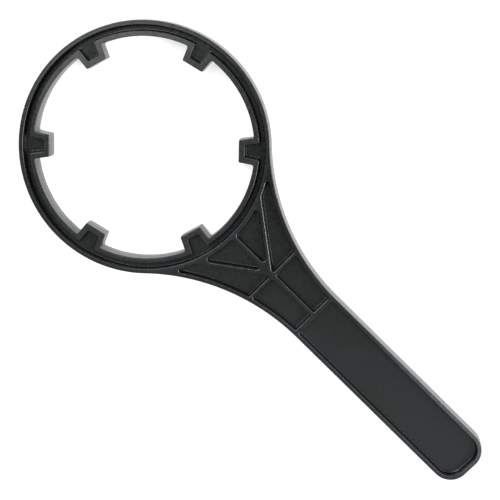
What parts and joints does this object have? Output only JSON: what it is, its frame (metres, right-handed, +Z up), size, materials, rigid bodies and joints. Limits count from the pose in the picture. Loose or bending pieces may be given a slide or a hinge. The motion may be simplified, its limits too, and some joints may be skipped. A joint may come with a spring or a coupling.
{
  "type": "filter housing wrench",
  "caption": "One-piece moulded ring wrench with inward lugs, a ribbed neck and a flat handle, for turning the bowl of a water filter housing.",
  "frame": {"origin": "on the ring's axis, in the plane of the underside's rims", "axes": "+X along the handle, away from the ring; +Z up along the ring's axis; +Y to the left"},
  "size_m": [0.2891, 0.1246, 0.0117],
  "materials": {
    "moulding": "satin"
  },
  "bodies": {
    "root": {"handle_end_wall": "moulding", "handle_web": "moulding", "inner_centre_rib": "moulding", "left_cross_rib": "moulding", "left_diagonal_rib": "moulding", "left_handle_wall": "moulding", "left_neck_wall": "moulding", "left_ring_outer_wall": "moulding", "left_side_panel": "moulding", "left_square_panel": "moulding", "left_triangle_panel": "moulding", "lug_1": "moulding", "lug_2": "moulding", "lug_3": "moulding", "lug_4": "moulding", "lug_5": "moulding", "lug_6": "moulding", "outer_centre_rib": "moulding", "outer_cross_rib": "moulding", "rib_hub": "moulding", "right_cross_rib": "moulding", "right_diagonal_rib": "moulding", "right_handle_wall": "moulding", "right_neck_wall": "moulding", "right_ring_outer_wall": "moulding", "right_side_panel": "moulding", "right_square_panel": "moulding", "right_triangle_panel": "moulding", "ring_arc_rib": "moulding", "ring_inner_wall_1": "moulding", "ring_inner_wall_2": "moulding", "ring_inner_wall_3": "moulding", "ring_inner_wall_4": "moulding", "ring_inner_wall_5": "moulding", "ring_inner_wall_6": "moulding", "ring_web": "moulding"}
  },
  "joints": []
}
